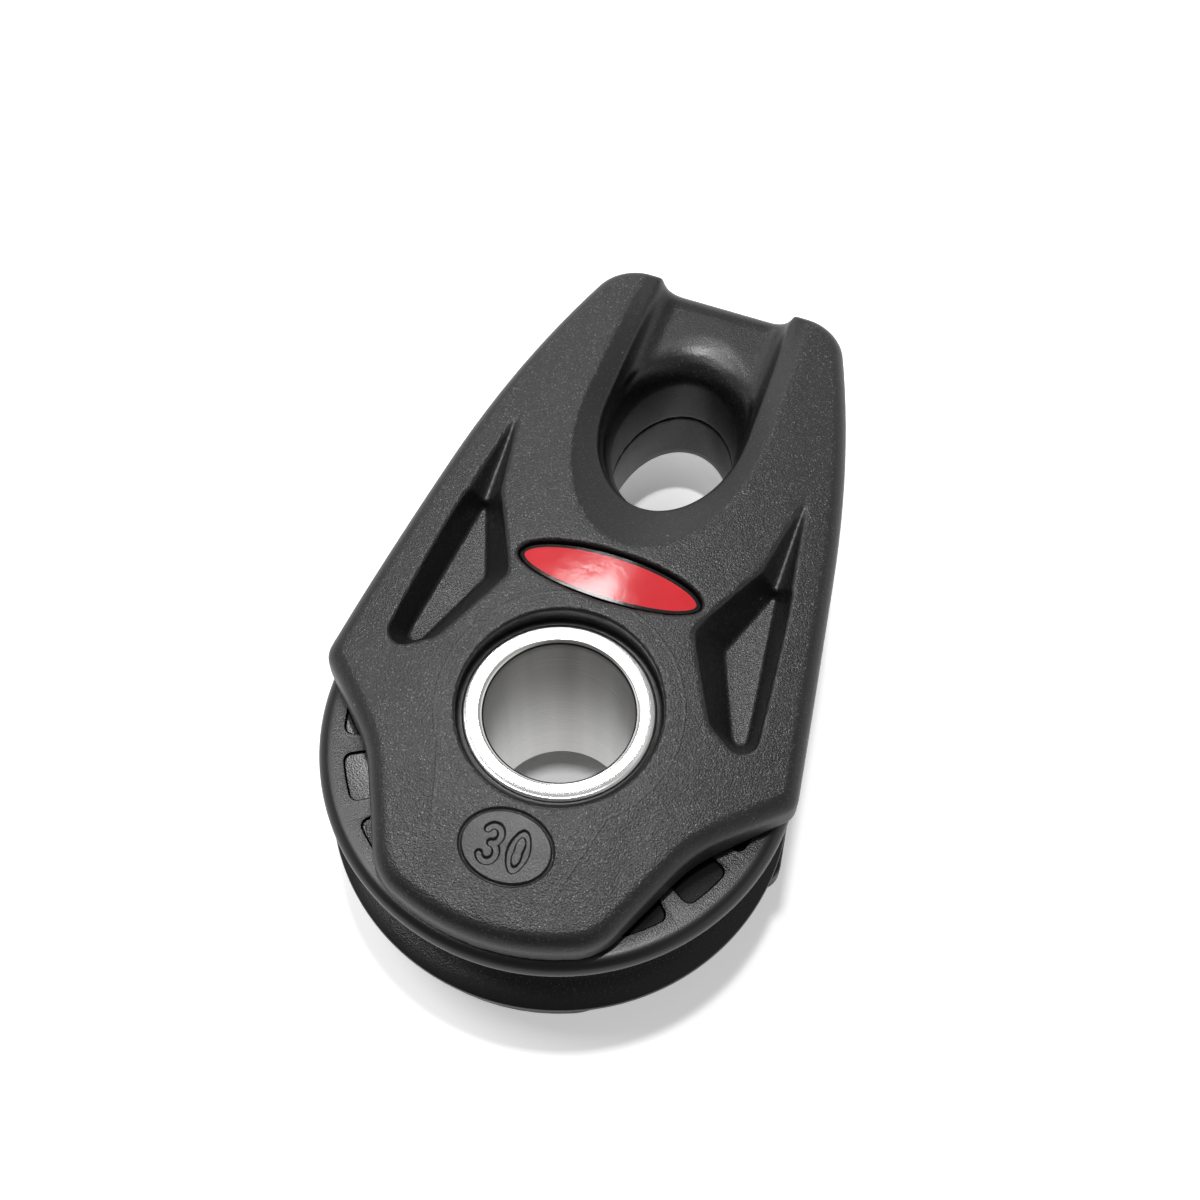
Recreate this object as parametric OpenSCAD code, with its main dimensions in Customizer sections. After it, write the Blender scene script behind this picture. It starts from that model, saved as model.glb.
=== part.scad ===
// Ball bearing sailing block with a lashing head, lying on its rear cheek.
// The origin is the middle of the hub bore: +Z runs along the bore and +Y towards the lashing head.

/* [Sheave] */
// Diameter over the rims
sheave_d = 30; // [29.6:0.1:30.2]
// Width over the two faces
sheave_w = 9; // [8.8:0.1:9]
// Radius of the rope groove's round bottom
groove_r = 3.2; // [3:0.1:3.3]
// Diameter at the bottom of the rope groove
groove_d = 22.4; // [22:0.1:22.8]
// Roundness of each rim's outer edge
rim_round = 0.9; // [0.5:0.1:1]
// Number of shallow panels round each face
panels = 18; // [12:1:20]
// Depth of the panels
panel_depth = 0.2; // [0.1:0.05:0.3]

/* [Bearing] */
// Diameter of a ball
ball_d = 3.175; // [3.1:0.005:3.175]
// Diameter of the circle of ball centres
ball_circle_d = 15.8; // [15.7:0.1:15.8]
// Balls in each row
balls = 15; // [10:1:15]
// Distance of each row from the middle
row_z = 2.3; // [2.3:0.05:2.35]
// Clearance round a ball
ball_gap = 0.05; // [0.03:0.01:0.08]

/* [Hub tube] */
// Diameter of the bore
bore_d = 9.2; // [9:0.1:9.3]
// Wall of the tube
tube_wall = 0.65; // [0.6:0.05:0.7]
// Diameter of the rolled ring at each end
ring_d = 11.5; // [11.3:0.1:11.6]
// Length over the two rings
tube_len = 17.8; // [17.6:0.1:18]
// Height of a rolled ring
ring_h = 1.1; // [1:0.1:1.2]

/* [Cheeks] */
// Thickness of the block at the crest of its cheeks
block_t = 19.3; // [19:0.1:19.6]
// Distance of the crest from the bore
crest_y = 8; // [7:0.5:9]
// Distance of the head's end from the bore
head_y = 34.5; // [34.2:0.1:34.7]
// Greatest width
cheek_w = 30.5; // [30.2:0.1:30.7]
// Gap between the sheave and each cheek
side_gap = 0.3; // [0.2:0.05:0.4]
// Radius of the space for the rope below the head
rope_space_r = 16.4; // [16:0.1:16.6]
// Roundness of the outer edge
edge_r = 1; // [0.8:0.1:1.1]

/* [Lashing eye] */
// Distance of the eye's middle from the bore
eye_y = 22.6; // [22.4:0.1:22.8]
// Width of the eye in the middle of the block
eye_w = 8.2; // [7.8:0.1:8.4]
// Height of the saddle above the middle of the block
saddle_z = 6.1; // [5.9:0.1:6.2]
// Roundness of the saddle on the eye's side
saddle_r = 2.8; // [2.4:0.1:2.8]
// Depth of the bevel round the mouth, at its end towards the sheave
bevel_depth = 1.35; // [1.2:0.05:1.4]

/* [Pockets and badges] */
// Height of a pocket's floor above the middle of the block
pocket_z = 6; // [5.8:0.1:6.3]
// Length of a badge
badge_len = 11.8; // [11.4:0.1:11.8]
// Width of a badge
badge_w = 3.3; // [3:0.1:3.3]
// Depth of a badge's face below the crest
badge_drop = 0.35; // [0.3:0.05:0.45]

/* [Hidden] */
BALLS = [for (row = ["front", "rear"], i = [1:balls]) str("ball_", row, "_", i)];
$fn = 96;

plastic = "#2e2f30";
sheave_grey = "#262728";
steel = "#c9c9c6";
race_white = "#d8d6cf";
ball_cream = "#e6dcc2";
badge_red = "#c8202f";

over = 1;                                   // how far a cutter runs past a face
gap_z = sheave_w / 2 + side_gap;            // inner face of a cheek
crest_z = block_t / 2;
tube_r = bore_d / 2 + tube_wall;
fit = 0.05;                                 // radial clearance of a fitted piece

// Radii of the cheek's curved face: along the block below and above the crest, and across it
near_crown_r = 95;
head_crown_r = 160;
cross_crown_r = 58;

// Outline of the cheek, as directions and distances of its straight edges
lobe_r = sheave_d / 2 - 0.55;
lobe_turn = -67;
lobe_corner_r = 4;
waist_dir = -25;
waist_r = 9;
shoulder_dir = -45;
shoulder_d = 11.2;
shoulder_r = 1.3;
side_dir = 8.2;
side_d = cheek_w / 2 * cos(side_dir);
side_straight_y = 15;
side_r = 95;
horn_r = 3.1;

// The eye and the mouth round it
eye_near = 4.1;
eye_far = 5.7;
near_straight_z = 1.9;
near_slope = 0.53;
saddle_half_w = 3.3;
saddle_roll_h = 2;
saddle_fillet = 1.4;
saddle_end_r = 1.6;
mouth_half_w = 4.85;
mouth_near = 7.3;
bevel_half_w = 6.2;
bevel_near = 11.1;
bevel_end_depth = 0.15;
bevel_past = 1.3;

// Moulded pegs that line the two cheeks up
peg_r = 1.2;
peg_len = 1.5;
peg_at = [8, 21.5];

// Circles that a pocket is drawn round, each with its place and radius
pocket_floor = [[10.65, 2.95, 0.55], [8.75, 8.2, 0.75], [9.85, 12.7, 0.2]];
pocket_rim = [[11, 1.8, 1.1], [10.85, 12.4, 0.25], [8.75, 12.9, 0.25], [6.6, 7.4, 0.7], [9.3, 2.5, 0.85]];
ledge_start = [9.78, 12.9, 0.2];
ledge_tip = [9.86, 19.5, 0.08];

// Badge recess
badge_y = 9.2;
badge_rim = 0.15;
badge_t = 0.8;
badge_z = crest_z - badge_drop - badge_t;

function dir(a) = [cos(a), sin(a)];
function arc(c, r, a0, a1, n) = [for (i = [0:n]) c + r * dir(a0 + (a1 - a0) * i / n)];
// Height of the cheek's curved face over a point
function face_z(p) = crest_z - p.x * p.x / (2 * cross_crown_r)
    - pow(p.y - crest_y, 2) / (2 * (p.y < crest_y ? near_crown_r : head_crown_r));
// Point where two straight edges meet, each given by its outward direction and distance
function meet(a, da, b, db) =
    [da * sin(b) - db * sin(a), db * cos(a) - da * cos(b)] / sin(b - a);

lobe_corner_c = (lobe_r - lobe_corner_r) * dir(lobe_turn);
waist_d = lobe_corner_c * dir(waist_dir) + lobe_corner_r;
waist_c = meet(waist_dir, waist_d + waist_r, shoulder_dir, shoulder_d + waist_r);
shoulder_c = meet(shoulder_dir, shoulder_d - shoulder_r, side_dir, side_d - shoulder_r);
side_low = shoulder_c + shoulder_r * dir(side_dir);
side_high = [(side_d - side_straight_y * sin(side_dir)) / cos(side_dir), side_straight_y];
side_c = side_high - side_r * dir(side_dir);
horn_y = head_y - horn_r;
horn_c = [side_c.x + sqrt(pow(side_r - horn_r, 2) - pow(horn_y - side_c.y, 2)), horn_y];
horn_dir = atan2(horn_c.y - side_c.y, horn_c.x - side_c.x);

// Right half of the outline, from the middle at the bottom to the head's end, moved inwards by d
function half_outline(d) = concat(
    arc([0, 0], lobe_r - d, -90, lobe_turn, 5),
    arc(lobe_corner_c, lobe_corner_r - d, lobe_turn + 5, waist_dir, 8),
    arc(waist_c, -waist_r - d, waist_dir, shoulder_dir, 6),
    arc(shoulder_c, shoulder_r - d, shoulder_dir, side_dir, 7),
    [for (i = [1:11]) side_low + (side_high - side_low) * i / 12 - d * dir(side_dir)],
    arc(side_c, side_r - d, side_dir, horn_dir, 12),
    arc(horn_c, horn_r - d, horn_dir + 7, 90, 9));

// Both halves, from the head's left corner down to the bottom and up to its right corner
function mirrored(half) = concat([for (i = [len(half) - 1:-1:1]) [-half[i].x, half[i].y]], half);
function lifted(outline, z) = [for (p = outline) [p.x, p.y, z]];

// Cap over a ring of n points that starts at index base, in strips between its two sides
function cap(base, n, up) = [for (i = [0:ceil(n / 2) - 2])
    let (pair = [i, i + 1, n - 2 - i, n - 1 - i],
         strip = pair[1] == pair[2] ? [pair[0], pair[1], pair[3]] : pair,
         last = len(strip) - 1)
    [for (k = [0:last]) base + strip[up ? last - k : k]]];

// Skin over a stack of anticlockwise rings with equal counts, from the lowest to the highest
module loft(rings) {
    n = len(rings[0]);
    top = len(rings) - 1;
    polyhedron(
        points = [for (ring = rings, p = ring) p],
        faces = concat(
            cap(0, n, false),
            [for (k = [0:top - 1], i = [0:n - 1])
                let (j = (i + 1) % n) [k * n + i, (k + 1) * n + i, (k + 1) * n + j, k * n + j]],
            cap(top * n, n, true)),
        convexity = 8);
}

// Solid plate of one cheek: flat at the middle of the block, curved and rounded outside
module cheek_blank() {
    steps = 6;
    middle = [0, 10];
    rim = mirrored(half_outline(edge_r));
    loft(concat(
        [lifted(mirrored(half_outline(0)), 0)],
        [for (k = [0:steps])
            let (a = 90 * k / steps)
            [for (p = mirrored(half_outline(edge_r * (1 - cos(a)))))
                [p.x, p.y, face_z(p) - edge_r * (1 - sin(a))]]],
        [for (s = [0.8, 0.6, 0.4, 0.2])
            [for (p = rim) let (q = middle + s * (p - middle)) [q.x, q.y, face_z(q)]]]));
}

// How far the eye reaches towards the sheave at a height: straight at first, then leaning back
function near_at(z) = eye_near + near_slope * max(0, z - near_straight_z);

// Ring of the eye: an oval that reaches further towards the head's end than towards the sheave
function eye_ring(half_w, far, z) = [for (i = [0:59])
    let (a = i * 6) [half_w * cos(a), eye_y + (sin(a) > 0 ? far : near_at(z)) * sin(a), z]];

// The eye from the middle of the block up to the mouth, with the saddle rolled back
module eye_cut() {
    low = saddle_z - saddle_roll_h;
    grow = [for (k = [0:6]) let (a = 15 * k)
        eye_ring(eye_w / 2 + 0.5 * k / 6, eye_far + saddle_r * (1 - cos(a)), low + saddle_roll_h * sin(a))];
    loft(concat(
        [for (z = [-over, near_straight_z]) eye_ring(eye_w / 2, eye_far, z)],
        grow,
        [eye_ring(mouth_half_w - 0.15, eye_far + saddle_r, saddle_z + saddle_fillet)]));
}

// Places along one side of the mouth, from the eye's middle to past the head's end
roll_y = head_y - saddle_end_r;
mouth_side = concat(
    [for (i = [0:6]) eye_y + (roll_y - eye_y) * i / 6],
    [for (b = [18:18:90]) roll_y + saddle_end_r * sin(b)],
    [head_y + over]);
function roll_drop(y) = saddle_end_r - sqrt(max(0, pow(saddle_end_r, 2) - pow(max(0, y - roll_y), 2)));

// Ring of the mouth: round towards the sheave and open towards the head's end
function mouth_ring(half_w, near) = concat(
    [for (i = [len(mouth_side) - 1:-1:1]) [-half_w, mouth_side[i]]],
    [for (a = [0:6:180]) [-half_w * cos(a), eye_y - near * sin(a)]],
    [for (i = [1:len(mouth_side) - 1]) [half_w, mouth_side[i]]]);

// Height of the bevel's lower edge
function mouth_edge_z(p) =
    let (y = min(p.y, head_y), near_y = eye_y - mouth_near)
    face_z([p.x, y]) - bevel_end_depth - (bevel_depth - bevel_end_depth) * (head_y - y) / (head_y - near_y);

// The open groove over the saddle, which rolls over at the head's end, and the bevel round it
module mouth_cut() {
    inner = mouth_ring(mouth_half_w, mouth_near);
    outer = mouth_ring(bevel_half_w, bevel_near);
    bevel = [for (t = [0:0.25:1]) [for (i = [0:len(inner) - 1])
        let (p = inner[i] + t * (outer[i] - inner[i]), low = mouth_edge_z(inner[i]))
        [p.x, p.y, low + t * (face_z([outer[i].x, min(outer[i].y, head_y)]) - low)]]];
    loft(concat(
        [for (k = [0:4]) let (a = 18 * k, z = saddle_z + saddle_fillet * (1 - cos(a)))
            [for (p = mouth_ring(saddle_half_w + saddle_fillet * sin(a), near_at(z)))
                [p.x, p.y, z - roll_drop(p.y)]]],
        bevel,
        [for (z = [0.3, 3]) [for (i = [0:len(inner) - 1])
            let (p = inner[i] + bevel_past * (outer[i] - inner[i])) [p.x, p.y, bevel[4][i].z + z]]]));
}

// Thin disc that a pocket's hull is drawn round
module disc(c, z) {
    translate([c.x, c.y, z]) cylinder(r = c.z, h = 0.01, $fn = 32);
}

// Pocket beside the badge: a sloping floor, a steep outer wall, a scooped inner wall and a tapering ledge
module pocket_cut() {
    above = 0.3;
    hull() {
        for (i = [0:2]) disc(pocket_floor[i], pocket_z + 0.15 * i);
        for (c = pocket_rim) disc(c, face_z(c) + above);
    }
    hull() {
        disc(ledge_start, pocket_z + 1.2);
        disc(ledge_tip, face_z(ledge_tip) + above / 3);
        for (i = [1, 2]) disc(pocket_rim[i], face_z(pocket_rim[i]) + above);
    }
}

// Outline of a badge or its recess, wider by rim
function oval(rim) = [for (i = [0:63]) let (a = (i + 0.5) * 360 / 64)
    [(badge_len / 2 + rim) * cos(a), badge_y + (badge_w / 2 + rim) * sin(a)]];

// Space between the two cheeks for the sheave and the rope
module rope_space() {
    round_r = 1.2;
    rotate_extrude() {
        translate([0, -over]) square([rope_space_r - round_r, gap_z + over]);
        translate([0, -over]) square([rope_space_r, gap_z - round_r + over]);
        translate([rope_space_r - round_r, gap_z - round_r]) circle(round_r);
    }
}

// One cheek as it lies on the front, without its pegs or sockets
module cheek() {
    difference() {
        cheek_blank();
        rope_space();
        cylinder(r = tube_r + fit, h = 2 * crest_z);
        translate([0, 0, tube_len / 2 - ring_h]) cylinder(r = ring_d / 2 + 0.55, h = crest_z);
        eye_cut();
        mouth_cut();
        for (side = [0, 1]) mirror([side, 0, 0]) pocket_cut();
        translate([0, 0, badge_z]) linear_extrude(crest_z) polygon(oval(badge_rim));
    }
}

module front_cheek() {
    color(plastic) {
        cheek();
        for (side = [-1, 1]) translate([side * peg_at.x, peg_at.y, -peg_len])
            cylinder(r = peg_r, h = peg_len + over);
    }
}

module rear_cheek() {
    color(plastic) difference() {
        mirror([0, 0, 1]) cheek();
        for (side = [-1, 1]) translate([side * peg_at.x, peg_at.y, -peg_len - 0.2])
            cylinder(r = peg_r + fit, h = peg_len + over);
    }
}

// Stainless tube that clamps the cheeks between its two rolled rings
module hub_tube() {
    half = tube_len / 2;
    round_r = (ring_d - bore_d) / 4;
    color(steel) rotate_extrude() {
        translate([bore_d / 2, -half + round_r]) square([tube_wall, tube_len - 2 * round_r]);
        for (end = [0, 1]) mirror([0, end]) {
            translate([bore_d / 2, half - ring_h]) square([2 * round_r, ring_h - round_r]);
            translate([bore_d / 2 + round_r, half - round_r]) circle(round_r);
        }
    }
}

// Fixed ring that carries one row of balls, with a shoulder that keeps them in
module inner_race() {
    track_r = (ball_circle_d - ball_d) / 2 - ball_gap;
    shoulder_r = ball_circle_d / 2 + 1;
    shoulder_z = row_z + ball_d / 2 + ball_gap;
    color(race_white) rotate_extrude() {
        translate([tube_r + fit, 0]) square([track_r - tube_r - fit, gap_z]);
        translate([tube_r + fit, shoulder_z]) square([shoulder_r - tube_r - fit, gap_z - shoulder_z]);
    }
}

// Shallow panel in a face of the sheave, with its corners drawn round
function bend(a, c, b) = [for (s = [0:1 / 3:1]) (1 - s) * (1 - s) * a + 2 * s * (1 - s) * c + s * s * b];
function panel_outline() =
    let (inner_r = 10.6, outer_r = sheave_d / 2 - 1.55, half_a = 150 / panels,
         c = [inner_r * dir(-half_a), outer_r * dir(-half_a * 0.86),
              outer_r * dir(half_a * 0.86), inner_r * dir(half_a)])
    [for (i = [0:3])
        let (before = c[(i + 3) % 4], after = c[(i + 1) % 4], t = 0.6)
        each bend(c[i] + t * (before - c[i]) / norm(before - c[i]), c[i],
                  c[i] + t * (after - c[i]) / norm(after - c[i]))];

// Grooved wheel: two rows of balls run inside it, on either side of a middle rib
module sheave() {
    track_r = (ball_circle_d + ball_d) / 2 + ball_gap;
    rib_half = row_z - ball_d / 2 - ball_gap;
    rib_r = ball_circle_d / 2 + 0.5;
    half = sheave_w / 2;
    rim_r = sheave_d / 2;
    groove_c = groove_d / 2 + groove_r;
    flank = 15;
    first_panel = 11.5;
    touch = [groove_c - groove_r * sin(flank), groove_r * cos(flank)];
    far = [rim_r + over, touch.y + (rim_r + over - touch.x) * tan(flank)];
    color(sheave_grey) difference() {
        rotate_extrude() difference() {
            union() {
                translate([track_r, -half]) square([rim_r - rim_round - track_r, sheave_w]);
                translate([track_r, rim_round - half]) square([rim_r - track_r, sheave_w - 2 * rim_round]);
                for (z = [-1, 1]) translate([rim_r - rim_round, z * (half - rim_round)]) circle(rim_round);
                translate([rib_r, -rib_half]) square([track_r - rib_r + over, 2 * rib_half]);
            }
            translate([groove_c, 0]) circle(groove_r);
            polygon([touch, far, [far.x, -far.y], [touch.x, -touch.y]]);
        }
        for (face = [0, 1], i = [0:panels - 1]) mirror([0, 0, face]) rotate(first_panel + i * 360 / panels)
            translate([0, 0, half - panel_depth]) linear_extrude(over) polygon(panel_outline());
    }
}

// Plate in the recess, flat below and following the cheek's curve above
module badge() {
    color(badge_red) loft([lifted(oval(0), badge_z),
                           [for (p = oval(0)) [p.x, p.y, face_z(p) - badge_drop]]]);
}

// One ball of a row: place 0 lies towards the head
module ball(place, z) {
    a = 90 + place * 360 / balls;
    color(ball_cream) translate([ball_circle_d / 2 * cos(a), ball_circle_d / 2 * sin(a), z])
        sphere(d = ball_d);
}

front_cheek();
rear_cheek();
hub_tube();
inner_race();  // inner_race_front
mirror([0, 0, 1]) inner_race();  // inner_race_rear
sheave();
badge();  // front_badge
mirror([0, 0, 1]) badge();  // rear_badge
for (i = [1:balls]) {
    ball(i - 1, row_z);
    ball(i - 1, -row_z);
}
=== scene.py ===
# %% [markdown]
# A ball bearing sailing block with a lashing head, lying on its rear cheek.
# The solids come from the frame, already at their real size and in place. This script dresses them:
# it opens the frame first, so that everything made below can be measured against it.

# %% Open the frame
import math

import bmesh
import bpy
import numpy as np
from mathutils import Matrix, Vector


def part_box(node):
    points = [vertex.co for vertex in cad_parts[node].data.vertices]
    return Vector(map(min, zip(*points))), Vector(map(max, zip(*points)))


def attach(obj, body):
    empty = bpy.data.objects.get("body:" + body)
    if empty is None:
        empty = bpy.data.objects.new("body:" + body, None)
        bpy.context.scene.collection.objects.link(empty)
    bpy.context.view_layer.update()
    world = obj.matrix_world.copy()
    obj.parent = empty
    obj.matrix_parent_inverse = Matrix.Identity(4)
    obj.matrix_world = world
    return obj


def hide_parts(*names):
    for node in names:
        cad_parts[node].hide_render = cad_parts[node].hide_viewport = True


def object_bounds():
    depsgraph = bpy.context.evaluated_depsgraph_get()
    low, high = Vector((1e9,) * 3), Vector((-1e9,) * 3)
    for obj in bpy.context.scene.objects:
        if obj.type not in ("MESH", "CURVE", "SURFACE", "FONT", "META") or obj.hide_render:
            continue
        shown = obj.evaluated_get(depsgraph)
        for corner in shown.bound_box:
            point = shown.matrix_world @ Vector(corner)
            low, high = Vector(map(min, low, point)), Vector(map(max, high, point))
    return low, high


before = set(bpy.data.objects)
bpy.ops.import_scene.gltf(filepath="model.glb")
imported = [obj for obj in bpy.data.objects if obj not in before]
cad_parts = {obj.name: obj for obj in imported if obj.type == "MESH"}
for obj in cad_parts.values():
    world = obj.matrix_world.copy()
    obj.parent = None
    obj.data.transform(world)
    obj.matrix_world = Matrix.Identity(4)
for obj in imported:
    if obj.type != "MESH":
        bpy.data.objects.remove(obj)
CAD_BOX = [[float(v) for v in corner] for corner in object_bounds()]
print("CAD box, mm:", [[round(v * 1000, 2) for v in corner] for corner in CAD_BOX])

# %% [markdown]
# The camera stands a little to the right of the block and looks down on it from about 62 degrees.
# A lens of about 56 mm on a 36 mm sensor, 12 cm away, gives the same strong foreshortening as a
# close photograph: the near lobe looks large and the head narrow.

# %% Camera
scene = bpy.context.scene
scene.view_settings.view_transform = "Standard"

camera = bpy.data.cameras.new("camera")
camera.sensor_width = 36
camera.lens = 56.15
camera.clip_start, camera.clip_end = 0.005, 5
camera_object = bpy.data.objects.new("camera", camera)
camera_object.location = (0.01701, -0.04465, 0.11080)
camera_object.rotation_euler = [math.radians(a) for a in (28.38, -0.6595, 19.34)]
scene.collection.objects.link(camera_object)
scene.camera = camera_object
print("camera at", [round(v * 1000, 1) for v in camera_object.location], "mm")

# %% [markdown]
# A few short helpers keep the cells readable: lengths are written in millimetres and a finished bmesh
# becomes an object with its place in its mesh. A shader tree gets its nodes by one call, and the kinds
# that come back in every material have a call of their own.

# %% Helpers for lengths and objects
MM = 0.001


def mm(*values):
    """Millimetres to metres, one number or a vector."""
    return values[0] * MM if len(values) == 1 else Vector(values) * MM


def add_object(name, mesh):
    """An object at the origin that holds a mesh."""
    made = bpy.data.objects.new(name, mesh)
    scene.collection.objects.link(made)
    return made


def object_from(bm, name):
    """A finished bmesh as an object, with its faces turned outwards."""
    bmesh.ops.remove_doubles(bm, verts=bm.verts, dist=mm(0.0005))
    bmesh.ops.recalc_face_normals(bm, faces=bm.faces)
    mesh = bpy.data.meshes.new(name)
    bm.to_mesh(mesh)
    bm.free()
    mesh.shade_smooth()
    return add_object(name, mesh)


def sharpen(obj, degrees):
    """Keep edges crisp where faces meet at more than an angle."""
    obj.data.set_sharp_from_angle(angle=math.radians(degrees))


print("one millimetre is", mm(1), "m")

# %% Helpers for shaders
WHITE = (1, 1, 1, 1)


def node(tree, kind, inputs=None, **settings):
    """A shader node with its settings and its inputs, each a value or another node's socket."""
    made = tree.nodes.new(kind)
    for key, value in settings.items():
        setattr(made, key, value)
    for key, value in (inputs or {}).items():
        if isinstance(value, bpy.types.NodeSocket):
            tree.links.new(value, made.inputs[key])
        else:
            made.inputs[key].default_value = value
    return made


def maths(tree, operation, *values):
    """The result of one sum on values and sockets."""
    return node(tree, "ShaderNodeMath", dict(enumerate(values)), operation=operation).outputs[0]


def ranged(tree, value, low, high, start=0.0, end=1.0, smooth=False):
    """A number that goes from start to end while the value goes from low to high."""
    ends = {"Value": value, "From Min": low, "From Max": high, "To Min": start, "To Max": end}
    kind = "SMOOTHSTEP" if smooth else "LINEAR"
    return node(tree, "ShaderNodeMapRange", ends, interpolation_type=kind).outputs[0]


def length(tree, vector):
    """How long a vector is."""
    return node(tree, "ShaderNodeVectorMath", {0: vector}, operation="LENGTH").outputs["Value"]


def mix_value(tree, factor, first, second):
    """Blend of two numbers, each a value or a socket."""
    return node(tree, "ShaderNodeMix", {0: factor, 2: first, 3: second}, data_type="FLOAT").outputs[0]


def mix_colour(tree, factor, first, second, blend="MIX"):
    """Blend of two colours, each a value or a socket."""
    return node(tree, "ShaderNodeMix", {0: factor, 6: first, 7: second}, data_type="RGBA",
                blend_type=blend).outputs[2]


def shade(colour, factor):
    """A colour made lighter or darker."""
    return (*(part * factor for part in colour), 1)


def own_place(tree):
    """Where a point lies on the object, in metres."""
    return node(tree, "ShaderNodeTexCoord").outputs["Object"]


def clouds(tree, place, scale, detail):
    """Soft noise around one half."""
    return node(tree, "ShaderNodeTexNoise", {"Vector": place, "Scale": scale, "Detail": detail}).outputs["Fac"]


def mirrored_ray(tree, path):
    """1 for a ray that comes from a mirroring or a clear surface."""
    return maths(tree, "MAXIMUM", path["Is Glossy Ray"], path["Is Transmission Ray"])


def new_material(name):
    """A material with its tree and its shader."""
    material = bpy.data.materials.new(name)
    material.use_nodes = True
    return material, material.node_tree, material.node_tree.nodes["Principled BSDF"]


def finish(tree, shader, tone, rough, height, depth, strength=1.0):
    """Join a colour, a roughness and a relief of some depth in millimetres to a shader."""
    bump = node(tree, "ShaderNodeBump", {"Height": height, "Distance": mm(depth), "Strength": strength})
    for label, socket in (("Base Color", tone), ("Roughness", rough), ("Normal", bump.outputs[0])):
        tree.links.new(socket, shader.inputs[label])


print("shader helpers ready")

# %% [markdown]
# The block lies on white. The floor and the world only look white to the camera and to what
# reflects or lets light through: the light that falls on the block stays plain and soft. What is
# mirrored grows dimmer straight up and towards the near side, where a photographer stands, so that
# level surfaces and the near rims keep their depth. Right under the bore the paper glows near white
# to mirrored rays, a painted reflection that makes the steel bore bright.
# The floor lies just under the rear cheek and keeps a shadow close to the block. Its own white,
# seen by the camera only, grows with the distance from the block: none under it, part close round it
# and full far away, so that it ends in white and not in grey. The darkness under and close round the
# block is thus partly painted shade on top of the real shadow.

# %% World and floor
ROOM_LIGHT = 0.15
CEILING = 0.35
NEAR_SIDE = 0.25
world = bpy.data.worlds.new("white_room")
scene.world = world
world.use_nodes = True
tree = world.node_tree
path = node(tree, "ShaderNodeLightPath").outputs
direction = node(tree, "ShaderNodeTexCoord").outputs["Generated"]
ways = node(tree, "ShaderNodeSeparateXYZ", {0: direction}).outputs
overhead = ranged(tree, ways["Z"], 0.15, 0.7, 1.0, CEILING, smooth=True)
near = ranged(tree, ways["Y"], -0.2, -0.8, 1.0, NEAR_SIDE, smooth=True)
strength = mix_value(tree, mirrored_ray(tree, path), ROOM_LIGHT, maths(tree, "MULTIPLY", overhead, near))
strength = mix_value(tree, path["Is Camera Ray"], strength, 1.0)
backdrop = tree.nodes["Background"]
backdrop.inputs["Color"].default_value = WHITE
tree.links.new(strength, backdrop.inputs["Strength"])

# Half lengths of the oval under the block in millimetres, and where the paper's own white grows, in
# shares of that oval.
UNDER_HALF = (12.0, 22.0)
UNDER_EDGE = (0.45, 1.1)
FAR_EDGE = (4.0, 11.0)
OWN_WHITE = 0.45
MIRRORED_WHITE = 0.15
# How white the paper right under the bore glows to mirrored rays, a painted reflection that makes the steel
# bore bright, and the radii in millimetres where that glow fades.
BORE_PAINTED_GLOW = 0.8
BORE_EDGE = (5.5, 4.5)


def white_floor():
    """White paper with some white of its own, less close to the block and none under it: painted shade there
    on top of the real shadow.
    """
    material, tree, paper = new_material("white_floor")
    place = own_place(tree)
    tone = mix_colour(tree, clouds(tree, place, 33.0, 2.0), shade(WHITE[:3], 0.93), shade(WHITE[:3], 0.97))
    tree.links.new(tone, paper.inputs["Base Color"])
    paper.inputs["Roughness"].default_value = 0.9
    path = node(tree, "ShaderNodeLightPath").outputs
    middle = Vector((0, (CAD_BOX[0][1] + CAD_BOX[1][1]) / 2, CAD_BOX[0][2]))
    oval = node(tree, "ShaderNodeMapping", {"Vector": place, "Location": middle,
                                            "Scale": (mm(UNDER_HALF[0]), mm(UNDER_HALF[1]), 1)},
                vector_type="TEXTURE")
    away = length(tree, oval.outputs[0])
    # Own white fades out towards the block and is gone under it: painted shade added to the real shadow.
    own = ranged(tree, away, *UNDER_EDGE, 0.0, OWN_WHITE, smooth=True)
    own = ranged(tree, away, *FAR_EDGE, own, 1.0, smooth=True)
    lift = maths(tree, "MULTIPLY", path["Is Camera Ray"], own)
    glow = node(tree, "ShaderNodeEmission", {"Color": WHITE, "Strength": lift})
    lifted = node(tree, "ShaderNodeAddShader", {0: paper.outputs[0], 1: glow.outputs[0]})
    flat = node(tree, "ShaderNodeVectorMath", {0: place, 1: (1, 1, 0)}, operation="MULTIPLY").outputs[0]
    # Under the bore the paper glows near white to mirrored rays: a painted reflection in the steel bore.
    shown = ranged(tree, length(tree, flat), *(mm(r) for r in BORE_EDGE), MIRRORED_WHITE, BORE_PAINTED_GLOW)
    share = maths(tree, "MULTIPLY", mirrored_ray(tree, path), shown)
    white = node(tree, "ShaderNodeEmission", {"Color": WHITE, "Strength": 1.0})
    mixed = node(tree, "ShaderNodeMixShader", {0: share, 1: lifted.outputs[0], 2: white.outputs[0]})
    tree.links.new(mixed.outputs[0], tree.nodes["Material Output"].inputs["Surface"])
    return material


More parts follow.
